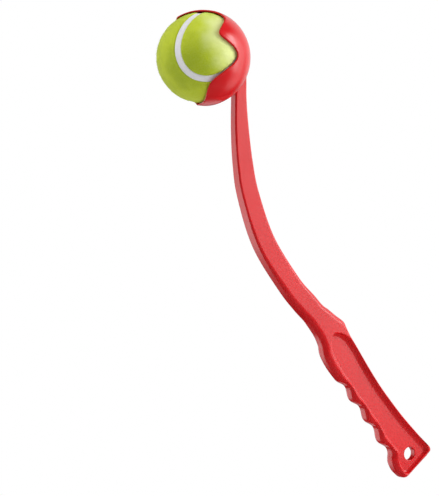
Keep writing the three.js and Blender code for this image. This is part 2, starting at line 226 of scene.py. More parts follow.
class HandleSizes(bpy.types.PropertyGroup):
    """The handle, from the arm to the end of the heel."""

    length: length("Length", "From the arm to the end of the heel", 150.5 * MM)
    lean: turn("Lean", "How far the handle leans from upright", 40.4)
    thickness: length("Thickness", "Thickness of the handle", 12 * MM)
    edge: length("Edge radius", "Radius of the handle's outer edges", 4.2 * MM)
    back_edge: length("Back edge radius", "Radius of the edges along the back of the grip", 0.5 * MM)
    front: length("Grip front", "From the hang hole to the finger ridges", 12.5 * MM)
    back: length("Grip back", "From the hang hole to the back of the grip", 12.2 * MM)
    groove_depth: length("Groove depth", "Depth of the finger grooves", 3.4 * MM)
    groove_pitch: length("Groove pitch", "Distance from one groove to the next", 20.8 * MM)
    groove_count: bpy.props.IntProperty(
        name="Grooves", description="Number of finger grooves", default=4, min=1)
    groove_from_hole: length("First groove", "From the hang hole to the lowest groove", 15.3 * MM)
    heel_flare: length("Heel flare", "How far the grooves stand out towards the heel", 1.45 * MM)
    hole: length("Hole", "Diameter of the hang hole", 10 * MM)
    hole_edge: length("Hole edge", "Radius of the hole's edges", 0.5 * MM)
    hole_from_end: length("Hole from end", "From the hang hole to the end of the heel", 12.4 * MM)
    heel_reach: length("Heel reach", "How far the heel flares in front of the hole", 17.8 * MM)
    heel_spur: length("Heel spur", "How far the heel runs out behind the hole", 16.4 * MM)
    heel_radius: length("Heel radius", "Radius of the heel's front corner", 4.5 * MM)
    spur_radius: length("Spur radius", "Radius of the heel's corner behind the hole", 5.2 * MM)
    thumb_rise: length("Thumb rise", "Height of the thumb rest", 3.4 * MM)


class PocketSizes(bpy.types.PropertyGroup):
    """The pockets in both sides of the handle."""

    depth: length("Depth", "Depth of the pocket", 3.4 * MM)
    back_rim: length("Back rim", "From the back of the handle to the pocket", 1 * MM)
    front_rim: length("Front rim", "From the finger ridges to the pocket", 4 * MM)
    end_rim: length("End rim", "From the end of the heel to the pocket", 3.4 * MM)
    wave: length("Wave", "How far the pocket follows the grooves", 1.6 * MM)
    radius: length("Corner radius", "Radius of the pocket's corners", 3.8 * MM)
    fillet: length("Floor fillet", "Radius where the wall meets the floor", 2.8 * MM)
    back_slope: turn("Back slope", "How far the back wall leans away from upright", 36)
    lip: length("Lip", "Radius of the pocket's mouth", 0.7 * MM)


class BallSizes(bpy.types.PropertyGroup):
    """The tennis ball."""

    radius: length("Radius", "Radius over the nap", 33 * MM)
    nap: length("Nap", "Height of the nap over the felt", 0.6 * MM)
    felt: length("Felt", "Thickness of the felt", 2.2 * MM)
    felt_edge: length("Felt edge", "Radius of the felt's edge at the seam", 1.1 * MM)
    seam_width: length("Seam width", "Width of the rubber seam", 5.2 * MM)
    seam_recess: length("Seam recess", "How far the seam lies below the felt", 0.7 * MM)
    seam_bend: amount("Seam bend", "How strongly the seam bends, as a share", 0.26, min=0, max=0.5)
    fibres: amount("Fibres", "Fibres in a square millimetre", 1.0, min=0)
    turn_x: turn("Turn X", "How the ball lies in the cup, about X", -17.6)
    turn_y: turn("Turn Y", "How the ball lies in the cup, about Y", 44.8)
    turn_z: turn("Turn Z", "How the ball lies in the cup, about Z", -63.2)


class Looks(bpy.types.PropertyGroup):
    """Colours and gloss of the finishes."""

    plastic: colour("Plastic", "Colour of the moulding", (0.72, 0.011, 0.014))
    plastic_deep: colour("Plastic, deep", "Colour where the melt flowed thinner", (0.66, 0.008, 0.011))
    plastic_roughness: amount("Plastic roughness", "Gloss of the moulding", 0.24, min=0, max=1)
    felt: colour("Felt", "Colour of the felt", (0.62, 0.72, 0.02))
    # Painted shade: a darker felt colour laid on the side of the ball that the light reaches least.
    felt_painted_shade: colour("Felt, matted", "Colour where the felt lies flat", (0.39, 0.5, 0.003))
    felt_patches: colour("Felt, patches", "Colour of the felt's darker patches", (0.56, 0.67, 0.012))
    # Painted highlight: a paler felt colour laid on the side of the ball where the light falls.
    felt_painted_highlight: colour("Felt, fluffed", "Colour where the nap is brushed up", (0.8, 0.88, 0.36))
    felt_tips: colour("Fibre tips", "Colour of the loose fibres", (0.8, 0.88, 0.3))
    seam: colour("Seam", "Colour of the rubber seam", (0.96, 0.95, 0.99))
    core: colour("Core", "Colour of the rubber core", (0.05, 0.05, 0.055))
    cement: colour("Cement", "Colour of the dried cement", (0.5, 0.4, 0.26))


class StageSizes(bpy.types.PropertyGroup):
    """The camera, lamps and floor."""

    azimuth: turn("Azimuth", "Turn of the camera round the object", -36)
    elevation: turn("Elevation", "Height of the camera as an angle", 4)
    distance: length("Distance", "From the camera to the point it looks at", 2.9867)
    aim: bpy.props.FloatVectorProperty(
        name="Aim", description="The point of the arm's mid-plane at the picture's centre",
        default=(-0.1739, 0, 0.1612), subtype="XYZ", unit="LENGTH")
    lens: amount("Lens", "Focal length in millimetres on a 36 mm sensor", 300.6)
    soft_light: amount("Soft light", "Brightness of the light from all round", 0.36, min=0)
    floor_drop: length("Floor drop", "From the heel down to the floor", 0.25)
    floor_radius: length("Floor radius", "Radius of the floor", 1.5)


PROPERTY_GROUPS = {
    "thrower_cup": CupSizes,
    "thrower_arm": ArmSizes,
    "thrower_handle": HandleSizes,
    "thrower_pocket": PocketSizes,
    "thrower_ball": BallSizes,
    "thrower_looks": Looks,
    "thrower_stage": StageSizes,
}


def sizes(name):
    """The scene's values of one property group."""
    return getattr(bpy.context.scene, "thrower_" + name)


# Curves


def spline(points, steps):
    """A smooth curve through points, with so many steps from each to the next."""
    points = np.asarray(points, float)
    before = np.vstack([points[:1], points[:-1]])
    after = np.vstack([points[1:], points[-1:]])
    slopes = (after - before) / 2
    made = []
    for i in range(len(points) - 1):
        t = (np.arange(steps) / steps)[:, None]
        rise = points[i + 1] - points[i]
        cubic = slopes[i] + slopes[i + 1] - 2 * rise
        square = 3 * rise - 2 * slopes[i] - slopes[i + 1]
        made.append(points[i] + t * slopes[i] + t ** 2 * square + t ** 3 * cubic)
    made.append(points[-1:])
    return np.vstack(made)


def along_line(points):
    """How far along a line each of its points lies."""
    steps = np.linalg.norm(np.diff(points, axis=0), axis=1)
    return np.concatenate([[0], np.cumsum(steps)])


def points_at(points, places, run):
    """Points of a line at places along it."""
    return np.stack([np.interp(places, run, points[:, k]) for k in range(points.shape[1])], 1)


def unit(vectors):
    """Vectors with the same ways and a length of one."""
    return vectors / np.linalg.norm(vectors, axis=-1, keepdims=True)


def smoothed(values, half, width, closed=False):
    """Values along a line, each mixed with so many on each of its sides under a
    bell curve of some width. An open line keeps its ends."""
    weights = np.exp(-0.5 * (np.arange(-half, half + 1) / width) ** 2)
    weights /= weights.sum()
    if closed:
        before, after = values[-half:], values[:half]
    else:
        before = 2 * values[0] - values[half:0:-1]
        after = 2 * values[-1] - values[-2:-half - 2:-1]
    padded = np.concatenate([before, values, after])
    return np.apply_along_axis(np.convolve, 0, padded, weights, "valid")


def eased(points, reach, spacing):
    """A line with even spacing and its small kinks smoothed over a reach, ends kept."""
    run = along_line(points)
    count = int(run[-1] / spacing)
    even = points_at(points, np.linspace(0, run[-1], count + 1), run)
    return smoothed(even, half=int(3 * reach / spacing), width=reach / spacing)


def rounded(before, corner, after, radius, steps=24):
    """A corner of an outline as an arc."""
    before, corner, after = (np.asarray(p, float) for p in (before, corner, after))
    back, on = unit(before - corner), unit(after - corner)
    half = math.acos(float(back @ on)) / 2
    centre = corner + unit(back + on) * radius / math.sin(half)
    start = corner + back * radius / math.tan(half) - centre
    end = corner + on * radius / math.tan(half) - centre
    shares = np.linspace(0, 1, steps + 1)[:, None]
    sweep = math.pi - 2 * half
    arc = np.sin((1 - shares) * sweep) * start + np.sin(shares * sweep) * end
    return centre + arc / math.sin(sweep)


def normals_of(points, closed=False):
    """The unit normals of a flat line, to the right of its way."""
    if closed:
        ways = unit(np.roll(points, -1, 0) - np.roll(points, 1, 0))
    else:
        ways = unit(np.gradient(points, axis=0))
    return np.stack([ways[:, 1], -ways[:, 0]], 1)


def smoothstep(value):
    """0 below 0, 1 above 1, and smooth between."""
    value = np.clip(value, 0, 1)
    return value * value * (3 - 2 * value)


# Meshes and materials


def new_object(name, mesh):
    """A linked object for a mesh."""
    made = bpy.data.objects.new(name, mesh)
    bpy.context.scene.collection.objects.link(made)
    return made


def mesh_from(name, vertices, faces):
    """A mesh from plain lists."""
    mesh = bpy.data.meshes.new(name)
    mesh.from_pydata([tuple(v) for v in vertices], [], faces)
    mesh.update()
    return mesh


def grid_faces(rows, columns, closed=False):
    """Quads between rows and columns of points, stored row after row."""
    faces = []
    for here in range(0, (rows - 1) * columns, columns):
        there = here + columns
        for j in range(columns if closed else columns - 1):
            k = (j + 1) % columns
            faces.append((here + j, here + k, there + k, there + j))
    return faces


def write_mesh(bm, mesh):
    """Turns the faces outwards, writes them to a mesh and lets the bmesh go."""
    bmesh.ops.recalc_face_normals(bm, faces=bm.faces[:])
    bm.to_mesh(mesh)
    bm.free()
    return mesh


def shade_smooth(mesh):
    """Shades all faces smooth and leaves the sharp edges as they are."""
    mesh.polygons.foreach_set("use_smooth", [True] * len(mesh.polygons))


def finish_piece(piece, body, material, nodes):
    """Puts a finished piece on its body, in place of its CAD nodes."""
    piece.data.materials.clear()
    piece.data.materials.append(material)
    shade_smooth(piece.data)
    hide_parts(*nodes)
    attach(piece, body)


def set_inputs(tree, node, inputs):
    """Links or sets inputs of a node."""
    for key, value in inputs.items():
        if isinstance(value, bpy.types.NodeSocket):
            tree.links.new(value, node.inputs[key])
        else:
            node.inputs[key].default_value = value


def add_node(tree, kind, inputs=None, output=0, **settings):
    """Adds a node, with its inputs linked or set, and returns one output."""
    made = tree.nodes.new(kind)
    for key, value in settings.items():
        setattr(made, key, value)
    set_inputs(tree, made, inputs or {})
    return made.outputs[output]


def material_nodes(name):
    """A new material with its node tree, and its surface shader."""
    material = bpy.data.materials.new(name)
    material.use_nodes = True
    tree = material.node_tree
    return material, tree, tree.nodes["Principled BSDF"]


def noise(tree, scale, detail, roughness=0.5):
    """Noise in the object's own space, with a scale in features a metre."""
    return add_node(tree, "ShaderNodeTexNoise", {
        "Vector": add_node(tree, "ShaderNodeTexCoord", output="Object"),
        "Scale": scale, "Detail": detail, "Roughness": roughness}, "Fac")


def between(tree, factor, low, high, start=0.35, end=0.65, curve="LINEAR"):
    """A value mapped from a band of a factor to a range."""
    return add_node(tree, "ShaderNodeMapRange", {
        "Value": factor, "From Min": start, "From Max": end, "To Min": low, "To Max": high},
        "Result", interpolation_type=curve)


def facing(tree, vector, way):
    """How far a vector goes some way."""
    return add_node(
        tree, "ShaderNodeVectorMath", {0: vector, 1: way}, "Value", operation="DOT_PRODUCT")


def mixed(tree, factor, first, second):
    """A mix of two colours."""
    made = add_node(tree, "ShaderNodeMix", {"Factor": factor}, data_type="RGBA").node
    places = [i for i, socket in enumerate(made.inputs) if socket.type == "RGBA"]
    values = [v if isinstance(v, bpy.types.NodeSocket) else (*v, 1) for v in (first, second)]
    set_inputs(tree, made, dict(zip(places, values)))
    return next(socket for socket in made.outputs if socket.type == "RGBA")


def bump(tree, height, strength, depth, over=None):
    """A bump from a height, over another bump if there is one."""
    inputs = {"Height": height, "Strength": strength, "Distance": depth}
    if over is not None:
        inputs["Normal"] = over
    return add_node(tree, "ShaderNodeBump", inputs, "Normal")


def plastic_material():
    """Glossy moulded plastic, with faint flow marks and a fine mould texture."""
    found = bpy.data.materials.get("moulded_red_plastic")
    if found:
        return found
    looks = sizes("looks")
    material, tree, shader = material_nodes("moulded_red_plastic")
    flow = between(tree, noise(tree, scale=22, detail=3), 0, 1)
    glossiest, dullest = looks.plastic_roughness - 0.02, looks.plastic_roughness + 0.03
    waves = bump(tree, noise(tree, scale=90, detail=1), strength=0.03, depth=0.3 * MM)
    grain = noise(tree, scale=900, detail=1)
    set_inputs(tree, shader, {
        "Base Color": mixed(tree, flow, looks.plastic, looks.plastic_deep),
        "Roughness": between(tree, noise(tree, scale=60, detail=4), glossiest, dullest),
        "Normal": bump(tree, grain, strength=0.03, depth=0.02 * MM, over=waves),
        "IOR": 1.5})
    return material


def felt_material():
    """Felt with darker patches, fine wool grain and a soft sheen, whose colour carries painted shade
    on one side of the ball and a paler painted highlight where the light falls.
    """
    looks = sizes("looks")
    material, tree, shader = material_nodes("lime_felt")
    patches = between(tree, noise(tree, scale=110, detail=4, roughness=0.6), 0, 1)
    wool = mixed(tree, patches, looks.felt, looks.felt_patches)
    # Painted shade: the felt is darkened on the side of the ball that the light reaches least.
    painted_shade_side = side_of_ball(tree, PAINTED_SHADE_SIDE, start=0.66, full=1.04)
    painted_shade = mixed(tree, painted_shade_side, wool, looks.felt_painted_shade)
    # Painted highlight: the felt is paled on the side of the ball where the light falls.
    painted_highlight_side = side_of_ball(tree, PAINTED_HIGHLIGHT_SIDE, start=0.5, full=0.96)
    painted_highlight = mixed(tree, painted_highlight_side, painted_shade, looks.felt_painted_highlight)
    tips = between(tree, noise(tree, scale=1500, detail=3, roughness=0.7), 0, 0.2)
    tufts = noise(tree, scale=420, detail=4, roughness=0.65)
    fuzz = noise(tree, scale=1900, detail=3, roughness=0.7)
    coarse = bump(tree, tufts, strength=0.5, depth=0.5 * MM)
    set_inputs(tree, shader, {
        "Base Color": mixed(tree, tips, painted_highlight, looks.felt_tips),
        "Normal": bump(tree, fuzz, strength=0.6, depth=0.2 * MM, over=coarse),
        "Roughness": 0.95,
        "Specular IOR Level": 0.1,
        "Sheen Weight": 0.3,
        "Sheen Roughness": 0.5,
        "Sheen Tint": (0.85, 0.95, 0.6, 1)})
    return material


def side_of_ball(tree, way, start, full):
    """How near the felt lies to one side of the ball, with uneven edges: the mask for the painted
    highlight and the painted shade.
    """
    place = add_node(tree, "ShaderNodeTexCoord", output="Object")
    from_centre = add_node(
        tree, "ShaderNodeVectorMath", {0: place, 1: cup_centre()}, operation="SUBTRACT")
    near = facing(tree, from_centre, Vector(way).normalized() / sizes("ball").radius)
    most = 0.08  # how far the edge of the side wanders, as a share of the radius
    uneven = between(tree, noise(tree, scale=60, detail=3), -most, most)
    total = add_node(tree, "ShaderNodeMath", {0: near, 1: uneven}, operation="ADD")
    return between(tree, total, 0, 1, start, full, "SMOOTHSTEP")


def rubber_material(name, base, speck, roughness):
    """Smooth rubber, mottled with specks of a share of its colour."""
    material, tree, shader = material_nodes(name)
    mottle = between(tree, noise(tree, scale=500, detail=4), 0, 1)
    spread = 0.06
    patches = noise(tree, scale=300, detail=3)
    grain = noise(tree, scale=1600, detail=3)
    set_inputs(tree, shader, {
        "Base Color": mixed(tree, mottle, base, [channel * speck for channel in base]),
        "Roughness": between(tree, patches, roughness - spread, roughness + spread),
        "Normal": bump(tree, grain, strength=0.2, depth=0.08 * MM)})
    return material


# Geometry Nodes


class Tree:
    """A Geometry Nodes tree under construction, with named inputs for a geometry,
    a material and what else it is asked for."""

    def __init__(self, name, **inputs):
        self.tree = bpy.data.node_groups.new(name, "GeometryNodeTree")
        self.tree.is_modifier = True
        self.sockets = {}
        new_socket = self.tree.interface.new_socket
        for key, kind in {"Geometry": "Geometry", **inputs, "Material": "Material"}.items():
            made = new_socket(key, in_out="INPUT", socket_type="NodeSocket" + kind)
            self.sockets[key] = made.identifier
        new_socket("Geometry", in_out="OUTPUT", socket_type="NodeSocketGeometry")
        self.given = self.tree.nodes.new("NodeGroupInput").outputs
        self.result = self.tree.nodes.new("NodeGroupOutput").inputs["Geometry"]

    def node(self, kind, inputs=None, output=0, **settings):
        """Adds a node, with its inputs linked or set, and returns one output."""
        return add_node(self.tree, kind, inputs, output, **settings)

    def math(self, operation, *values):
        """A Math node."""
        return self.node("ShaderNodeMath", dict(enumerate(values)), operation=operation)

    def vector(self, operation, *values, output=0):
        """A Vector Math node."""
        inputs = dict(enumerate(values))
        return self.node("ShaderNodeVectorMath", inputs, output, operation=operation)

    def scaled(self, vector, factor):
        """A vector times a number."""
        return self.node("ShaderNodeVectorMath", {0: vector, "Scale": factor}, operation="SCALE")

    def named(self, name, kind="FLOAT_VECTOR"):
        """A named attribute."""
        return self.node("GeometryNodeInputNamedAttribute", {"Name": name}, data_type=kind)

    def finish(self, geometry):
        """Ends the tree in real geometry with a material."""
        real = self.node("GeometryNodeRealizeInstances", {"Geometry": geometry})
        made = self.node("GeometryNodeSetMaterial", {
            "Geometry": real, "Material": self.given["Material"]})
        self.tree.links.new(made, self.result)
        return self


def made_by(tree, carrier, values):
    """Runs a tree on a carrier object and returns the result as a plain mesh."""
    modifier = carrier.modifiers.new(tree.tree.name, "NODES")
    modifier.node_group = tree.tree
    for name, value in values.items():
        modifier[tree.sockets[name]] = value
    bpy.context.view_layer.update()
    depsgraph = bpy.context.evaluated_depsgraph_get()
    mesh = bpy.data.meshes.new_from_object(
        carrier.evaluated_get(depsgraph), preserve_all_data_layers=True, depsgraph=depsgraph)
    carrier.modifiers.remove(modifier)
    return mesh


def attribute(mesh, name, values, kind="FLOAT_VECTOR"):
    """Stores values on a mesh's points under a name."""
    made = mesh.attributes.new(name, kind, "POINT")
    key = "vector" if kind == "FLOAT_VECTOR" else "value"
    made.data.foreach_set(key, np.asarray(values, np.float32).ravel())


def read_attribute(mesh, name):
    """A vector attribute of a mesh's points, as rows."""
    values = np.zeros(len(mesh.vertices) * 3, np.float32)
    mesh.attributes[name].data.foreach_get("vector", values)
    return values.reshape(-1, 3).astype(float)


def path_object(name, points, closed, attributes):
    """A line of edges with attributes on its points, for a tree to follow."""
    mesh = bpy.data.meshes.new(name)
    count = len(points)
    edges = [(i, (i + 1) % count) for i in range(count if closed else count - 1)]
    mesh.from_pydata([tuple(p) for p in points], edges, [])
    for key, values in attributes.items():
        kind = "FLOAT" if np.ndim(values) == 1 else "FLOAT_VECTOR"
        attribute(mesh, key, values, kind)
    return new_object(name, mesh)


def section_object(name, side_points, corner_steps):
    """A rectangle's outline with rounded corners, as a unit for the sweep tree.
    Each point keeps its corner, its way round that corner's arc, and how far it
    has moved along the flat towards the next corner, as a share and in supports."""
    rows = []
    for quarter, corner in enumerate(((1, 1, 0), (-1, 1, 0), (-1, -1, 0), (1, -1, 0))):
        gaps = side_points[quarter % 2] + 1
        on_arc = [(quarter + i / corner_steps, 0, 0) for i in range(corner_steps + 1)]
        on_flat = [(quarter + 1, k / gaps, 0) for k in range(1, gaps)]
        quarter_rows = [*on_arc, (quarter + 1, 0, 1), *on_flat, (quarter + 1, 1, -1)]
        rows += [(*corner, *row) for row in quarter_rows]
    rows = np.array(rows, float)
    corners, angles = rows[:, :3], rows[:, 3] * math.pi / 2
    arcs = np.stack([np.cos(angles), np.sin(angles), 0 * angles], 1)
    flat_ways = np.stack([-arcs[:, 1], arcs[:, 0], 0 * angles], 1)
    return path_object(name, corners + arcs, True, {
        "corner": corners, "arc": arcs, "share": rows[:, 4], "shift": rows[:, 5],
        "flat_way": flat_ways})


def sweep_tree():
    """Sweeps a rounded rectangle along a line. The line's points carry the
    section's two ways, its width, its thickness and the radius of its edges."""
    tree = Tree("Rounded sweep", Section="Object", Support="Float")
    section = tree.node("GeometryNodeObjectInfo", {"Object": tree.given["Section"]}, "Geometry")
    swept = tree.node("GeometryNodeCurveToMesh", {
        "Curve": tree.node("GeometryNodeMeshToCurve", {"Mesh": tree.given["Geometry"]}),
        "Profile Curve": tree.node("GeometryNodeMeshToCurve", {"Mesh": section}),
        "Fill Caps": True})
    width, thickness, edge = (tree.named(name, "FLOAT") for name in ("width", "thickness", "edge"))
    inset = tree.math("MULTIPLY", edge, -1.0)
    span = tree.node("ShaderNodeCombineXYZ", {
        0: tree.math("MULTIPLY_ADD", width, 0.5, inset),
        1: tree.math("MULTIPLY_ADD", thickness, 0.5, inset)})
    centre = tree.vector("MULTIPLY", tree.named("corner"), span)
    on_arc = tree.vector("ADD", centre, tree.scaled(tree.named("arc"), edge))
    way = tree.named("flat_way")
    half_flat = tree.vector("DOT_PRODUCT", tree.vector("ABSOLUTE", way), span, output="Value")
    flat = tree.math("MULTIPLY", half_flat, 2.0)
    along_flat = tree.math("MULTIPLY", tree.named("share", "FLOAT"), flat)
    moved = tree.math(
        "MULTIPLY_ADD", tree.named("shift", "FLOAT"), tree.given["Support"], along_flat)
    point = tree.vector("ADD", on_arc, tree.scaled(way, moved))
    parts = tree.node("ShaderNodeSeparateXYZ", {0: point}).node.outputs
    across = tree.scaled(tree.named("across"), parts[0])
    aside = tree.scaled(tree.named("aside"), parts[1])
    place = tree.vector("ADD", tree.named("place"), tree.vector("ADD", across, aside))
    return tree.finish(tree.node("GeometryNodeSetPosition", {"Geometry": swept, "Position": place}))


def swept_mesh(name, material, attributes, closed, side_points, corner_steps):
    """A rounded rectangle swept along a line of attributes, as a plain mesh."""
    path = path_object(name + "_path", attributes["place"], closed, attributes)
    section = section_object(name + "_section", side_points, corner_steps)
    mesh = made_by(sweep_tree(), path, {
        "Section": section, "Support": SUPPORT, "Material": material})
    for helper in (path, section):
        bpy.data.objects.remove(helper)
    mesh.name = name
    return mesh


def outward(mesh):
    """Turns a swept mesh's faces outwards, and keeps its flat ends, the only faces
    with more than four corners, from bending the light on its sides."""
    bm = bmesh.new()
    bm.from_mesh(mesh)
    for face in bm.faces:
        if len(face.verts) > 4:
            for edge in face.edges:
                edge.smooth = False
    return write_mesh(bm, mesh)


def nap_tree():
    """Scatters short bent fibres over the outer face of a felt panel."""
    tree = Tree("Felt nap", Density="Float", Height="Float", Thickness="Float", Seed="Int")
    given, height = tree.given, tree.given["Height"]
    lean = 0.25  # the most that a fibre leans, in radians
    thinned = 0.7  # the share of its thickness that a fibre loses towards its tip
    smallest, largest = (0.6, 0.6, 0.55), (1.25, 1.25, 1.0)

    def random(low, high):
        return tree.node("FunctionNodeRandomValue", {
            "Min": low, "Max": high, "Seed": given["Seed"]}, data_type="FLOAT_VECTOR")

    def point(up, along=0.0):
        """A point of a fibre, in heights of the nap over and along the felt."""
        return tree.node("ShaderNodeCombineXYZ", {
            0: tree.math("MULTIPLY", height, along), 2: tree.math("MULTIPLY", height, up)})

    scatter = tree.node("GeometryNodeDistributePointsOnFaces", {
        "Mesh": given["Geometry"], "Density": given["Density"], "Seed": given["Seed"],
        "Selection": tree.math("GREATER_THAN", tree.named("outer", "FLOAT"), 0.5)},
        distribute_method="RANDOM").node.outputs
    spin = random((-lean, -lean, 0.0), (lean, lean, math.tau))
    turned = tree.node("FunctionNodeRotateRotation", {
        "Rotation": scatter["Rotation"],
        "Rotate By": tree.node("FunctionNodeEulerToRotation", {0: spin})}, rotation_space="LOCAL")
    bent = tree.node("GeometryNodeCurveQuadraticBezier", {
        "Resolution": 2, "Start": point(up=-0.4), "Middle": point(up=1.15),
        "End": point(up=0.8, along=1.5)})
    taper = tree.math("MULTIPLY_ADD", tree.node("GeometryNodeSplineParameter"), -thinned, 1.0)
    fibre = tree.node("GeometryNodeCurveToMesh", {
        "Curve": tree.node("GeometryNodeSetCurveRadius", {"Curve": bent, "Radius": taper}),
        "Profile Curve": tree.node("GeometryNodeCurvePrimitiveCircle", {
            "Resolution": 3, "Radius": given["Thickness"]}),
        "Fill Caps": False, "Scale": taper})
    nap = tree.node("GeometryNodeInstanceOnPoints", {
        "Points": scatter["Points"], "Instance": fibre, "Rotation": turned,
        "Scale": random(smallest, largest)})
    real = tree.node("GeometryNodeRealizeInstances", {"Geometry": nap})
    both = tree.tree.nodes.new("GeometryNodeJoinGeometry")
    for part in (given["Geometry"], real):
        tree.tree.links.new(part, both.inputs[0])
    return tree.finish(both.outputs[0])


# The cup


def cup_centre():
    """The centre of the cup and the ball."""
    cup = sizes("cup")
    return np.array([-cup.reach, 0, cup.rise])


def rim_line(count):
    """Even turns round the mouth's axis, and the rim's angle from it at each."""
    stations = np.array(RIM_TURNS, float)
    around = np.vstack([stations - (360, 0), stations, stations + (360, 0)])
    slopes = np.gradient(around[:, 1], around[:, 0])
    turns = np.arange(count) * 360 / count - 180
    found = np.searchsorted(around[:, 0], turns, "right") - 1
    run = around[found + 1, 0] - around[found, 0]
    t = (turns - around[found, 0]) / run
    rest = 1 - t
    before = around[found, 1] * (1 + 2 * t) + slopes[found] * run * t
    after = around[found + 1, 1] * (3 - 2 * t) - slopes[found + 1] * run * rest
    angles = smoothed(before * rest ** 2 + after * t ** 2, half=9, width=3, closed=True)
    return np.radians(turns), np.radians(angles)


def cup_mesh():
    """The scalloped cup: a thin shell with a rounded rim."""
    cup = sizes("cup")
    columns, rows, lip_steps = 480, 44, 8
    row_growth = 1.15  # rows lie closer together by the rim
    thin_from, thin_over = 0.5, 0.9  # where the rim gets thinner, as cosines of the turn
    turns, rims = rim_line(columns)
    tilt, out = cup.mouth_tilt, cup.mouth_turn
    level = math.cos(tilt)
    mouth = np.array([-level * math.cos(out), -level * math.sin(out), math.sin(tilt)])
    side = unit(np.cross((0, 0, 1), mouth))
    top = np.cross(mouth, side)
    ways = np.outer(np.cos(turns), side) + np.outer(np.sin(turns), top)
    rim = np.cos(rims)[:, None] * mouth + np.sin(rims)[:, None] * ways
    inward = unit(np.cross(np.roll(rim, -1, 0) - np.roll(rim, 1, 0), rim))
    if inward[0] @ mouth > 0:
        inward = -inward
    far = smoothstep((thin_from - np.cos(turns)) / thin_over)
    edge = cup.rim + far * (cup.far_rim - cup.rim)
    half = (edge / 2)[:, None]
    middle = cup.inside + half

    def stepped_in(distance):
        angle = distance / middle
        return rim * np.cos(angle) + inward * np.sin(angle)

    start = stepped_in(half + SUPPORT * 2)
    polar = np.arccos(np.clip(start @ mouth, -1, 1))
    flat = unit(start - np.outer(start @ mouth, mouth))
    wall, outer_wall = [], []
    for row in range(1, rows):
        angle = polar + (math.pi - polar) * (row / rows) ** row_growth
        wall.append(np.cos(angle)[:, None] * mouth + np.sin(angle)[:, None] * flat)
        full = smoothstep((angle - polar) * cup.inside / cup.taper)
        thickness = edge + (cup.wall - edge) * full
        outer_wall.append(wall[-1] * (cup.inside + thickness)[:, None])
    rings = outer_wall[::-1]
    rings.append(start * (cup.inside + edge)[:, None])
    for angle in np.linspace(0, math.pi, lip_steps + 1):
        distance = half * (1 - math.sin(angle))
        rings.append(stepped_in(distance) * (middle + half * math.cos(angle)))
    rings.append(start * cup.inside)
    rings += [direction * cup.inside for direction in wall]
    poles = [-mouth * (cup.inside + cup.wall), -mouth * cup.inside]
    points = np.vstack([*rings, *poles]) + cup_centre()
    faces = grid_faces(len(rings), columns, closed=True)
    last = (len(rings) - 1) * columns
    outer = last + columns
    for j in range(columns):
        k = (j + 1) % columns
        faces += [(outer, k, j), (outer + 1, last + j, last + k)]
    return mesh_from("scalloped_cup", points, faces)


# The handle


def handle_ways():
    """The ways down the handle and to its front, in the arm's plane."""
    lean = sizes("handle").lean
    down = np.array([math.sin(lean), -math.cos(lean)])
    return down, np.array([down[1], -down[0]])


def joint_down():
    """Where the arm meets the handle, as a place down the handle."""
    handle = sizes("handle")
    return handle.hole_from_end - handle.length


def first_ridge():
    """Where the first finger ridge stands, as a place down the handle."""
    handle = sizes("handle")
    return -handle.groove_from_hole - (handle.groove_count - 0.5) * handle.groove_pitch


def wave(ridge, depth, steps=24, flare_pitches=1.5):
    """A wave of finger grooves along the handle's front, which flares out over
    the last few pitches before the heel."""
    handle = sizes("handle")
    count = int((handle.groove_count - 0.5) * steps) + 1
    places = np.linspace(first_ridge(), -handle.groove_from_hole, count)
    pitches = (places + handle.groove_from_hole) / handle.groove_pitch
    flare = handle.heel_flare * smoothstep(1 + pitches / flare_pitches)
    return np.stack([places, ridge + flare - depth * (1 + np.cos(math.tau * pitches)) / 2], 1)


def neck_points(shares, reach):
    """Points between the arm and the first ridge, from shares down and across."""
    start, end = joint_down(), first_ridge()
    return [(start + down * (end - start), across * reach) for down, across in shares]


def heel_points(shares):
    """Points of the heel, from shares down and across."""
    handle = sizes("handle")
    return [(down * handle.hole_from_end, across * handle.heel_reach) for down, across in shares]


def outline(front, ridges, heel, corners, radii, back):
    """An outline down the front, over the ridges, round the heel and up the back."""
    return np.vstack([
        spline([*front, ridges[0]], CURVE_STEPS),
        ridges[1:-1],
        spline([ridges[-1], *heel], CURVE_STEPS),
        rounded(heel[-1], *corners, radii[0]),
        rounded(*corners, back[0], radii[1]),
        spline(back, CURVE_STEPS),
    ])


def handle_outline():
    """The handle's outline, from the arm down the front and up the back."""
    handle = sizes("handle")
    front_corner, = heel_points([HEEL_CORNER_SHARES])
    back_corner = (handle.hole_from_end, -handle.heel_spur)
    back = [(share * joint_down(), -across * handle.back - thumb * handle.thumb_rise)
            for share, across, thumb in (*BACK_SHARES, (1, NECK_BACK_SHARE, 0))]
    return outline(
        neck_points(NECK_SHARES, handle.front), wave(handle.front, handle.groove_depth),
        heel_points(HEEL_SHARES), (front_corner, back_corner),
        (handle.heel_radius, handle.spur_radius), back)


def pocket_outline():
    """The pocket's outline, from its tip down the front and up the back."""
    handle, pocket = sizes("handle"), sizes("pocket")
    front = neck_points(POCKET_FRONT_SHARES, handle.front)
    end = handle.hole_from_end - pocket.end_rim
    share, across, _ = BACK_SHARES[0]
    lean = (handle.heel_spur - across * handle.back) / (handle.hole_from_end - share * joint_down())
    front_corner = (end, POCKET_CORNER_SHARE * handle.heel_reach)
    back_corner = (end, pocket.back_rim - handle.heel_spur + lean * pocket.end_rim)
    back = [(share * joint_down(), pocket.back_rim - across * handle.back)
            for share, across, _ in BACK_SHARES if share < POCKET_BACK_END_SHARE]
    tip = neck_points(POCKET_TIP_SHARES, -handle.back)
    return outline(
        front, wave(handle.front - pocket.front_rim, pocket.wave),
        heel_points(POCKET_HEEL_SHARES), (front_corner, back_corner),
        (pocket.radius, pocket.radius), [*back, *tip, front[0]])


